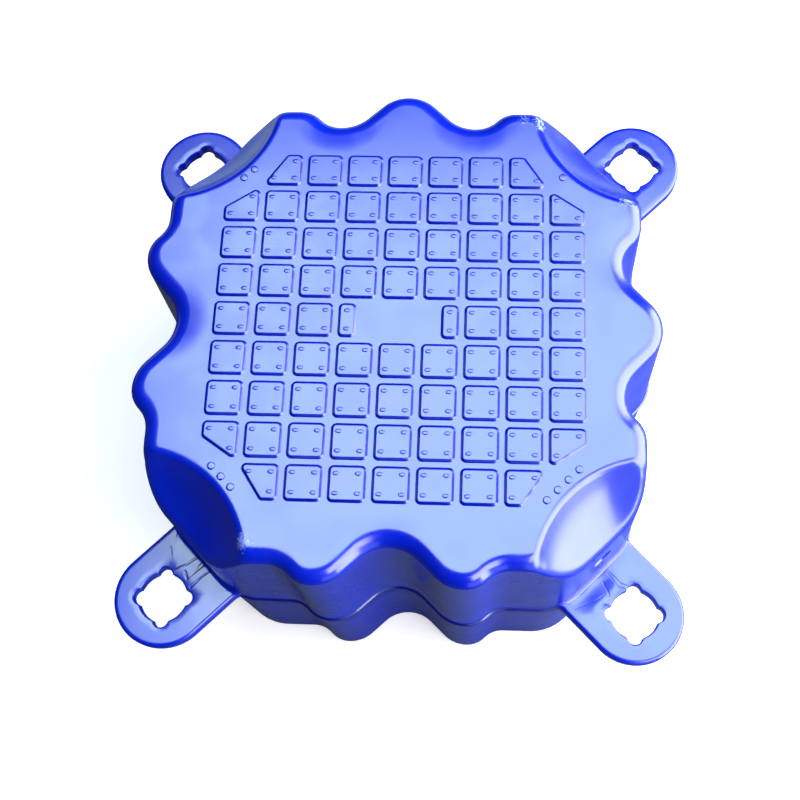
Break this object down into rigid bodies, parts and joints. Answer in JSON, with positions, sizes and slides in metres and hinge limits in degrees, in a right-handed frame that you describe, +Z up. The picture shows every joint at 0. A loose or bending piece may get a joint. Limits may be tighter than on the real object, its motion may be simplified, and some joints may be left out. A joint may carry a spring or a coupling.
{
  "type": "floating dock cube",
  "caption": "Blue plastic float with wavy nesting sides, a padded tread deck, scooped corners and stacked corner lugs with lobed pin holes, joined to others as a floating dock.",
  "frame": {"origin": "under the middle of the base", "axes": "+Z up, deck on top; +X towards the right side and -Y towards the front side, as in the picture"},
  "size_m": [0.605, 0.605, 0.403],
  "materials": {
    "float_plastic": "satin"
  },
  "bodies": {
    "root": {"float_body": "float_plastic"}
  },
  "joints": []
}
